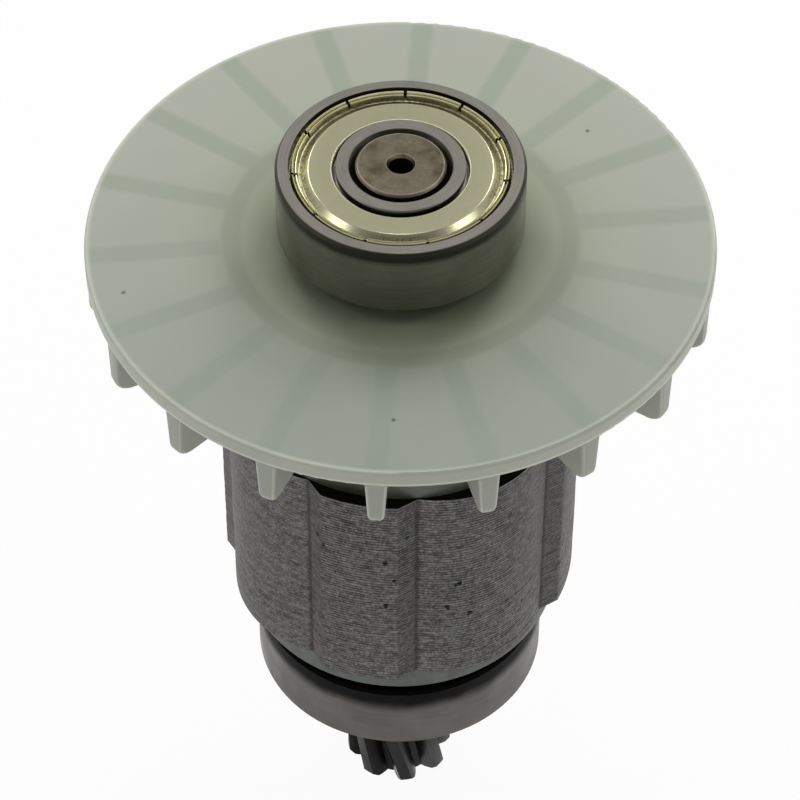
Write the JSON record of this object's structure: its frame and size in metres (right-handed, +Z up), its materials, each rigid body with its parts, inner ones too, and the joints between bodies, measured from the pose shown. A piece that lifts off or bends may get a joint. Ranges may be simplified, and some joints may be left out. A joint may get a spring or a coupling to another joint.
{
  "type": "motor rotor",
  "caption": "Brushless motor rotor: a laminated core on a stepped shaft with a helical pinion, a nylon cooling fan and a shielded ball bearing at each end.",
  "frame": {"origin": "centre of the pinion's end face, at the lowest point", "axes": "+Z up along the shaft from the pinion to the fan end, -Y towards the front of the view"},
  "size_m": [0.056, 0.056, 0.0842],
  "materials": {
    "shaft_steel": "ground and tarnished, pinion darkened",
    "core_sheets": "stacked stamped sheets, varnished",
    "end_plate_nylon": "moulded natural nylon",
    "fan_nylon": "moulded natural nylon, translucent",
    "magnet": "sintered, nickel plated",
    "upper_ring_steel": "ground",
    "lower_ring_steel": "ground",
    "ball_steel": "polished",
    "cage_steel": "pressed",
    "shield_zinc": "zinc plated, yellowish"
  },
  "bodies": {
    "rotor": {"shaft": "shaft_steel", "rotor_core": "core_sheets", "magnet_1": "magnet", "magnet_2": "magnet", "magnet_3": "magnet", "magnet_4": "magnet", "lower_end_plate": "end_plate_nylon", "fan": "fan_nylon", "upper_bearing_inner_ring": "upper_ring_steel", "lower_bearing_inner_ring": "lower_ring_steel"},
    "upper_ring": {"upper_bearing_outer_ring": "upper_ring_steel", "upper_bearing_top_shield": "shield_zinc", "upper_bearing_bottom_shield": "shield_zinc"},
    "upper_ball_set": {"upper_bearing_balls": "ball_steel", "upper_bearing_cage": "cage_steel"},
    "lower_ring": {"lower_bearing_outer_ring": "lower_ring_steel", "lower_bearing_top_shield": "shield_zinc", "lower_bearing_bottom_shield": "shield_zinc"},
    "lower_ball_set": {"lower_bearing_balls": "ball_steel", "lower_bearing_cage": "cage_steel"}
  },
  "joints": [
    {"name": "upper_ring_spin", "type": "hinge", "parent": "rotor", "child": "upper_ring", "pos_m": [0, 0, 0.08058], "axis": [0, 0, 1], "continuous": true},
    {"name": "upper_ball_set_spin", "type": "hinge", "parent": "rotor", "child": "upper_ball_set", "pos_m": [0, 0, 0.08058], "axis": [0, 0, 1], "continuous": true},
    {"name": "lower_ring_spin", "type": "hinge", "parent": "rotor", "child": "lower_ring", "pos_m": [0, 0, 0.02264], "axis": [0, 0, 1], "continuous": true},
    {"name": "lower_ball_set_spin", "type": "hinge", "parent": "rotor", "child": "lower_ball_set", "pos_m": [0, 0, 0.02264], "axis": [0, 0, 1], "continuous": true}
  ],
  "couplings": [
    {"joint": "upper_ball_set_spin", "follows": "upper_ring_spin", "ratio": 0.6323},
    {"joint": "lower_ball_set_spin", "follows": "lower_ring_spin", "ratio": 0.61905}
  ]
}
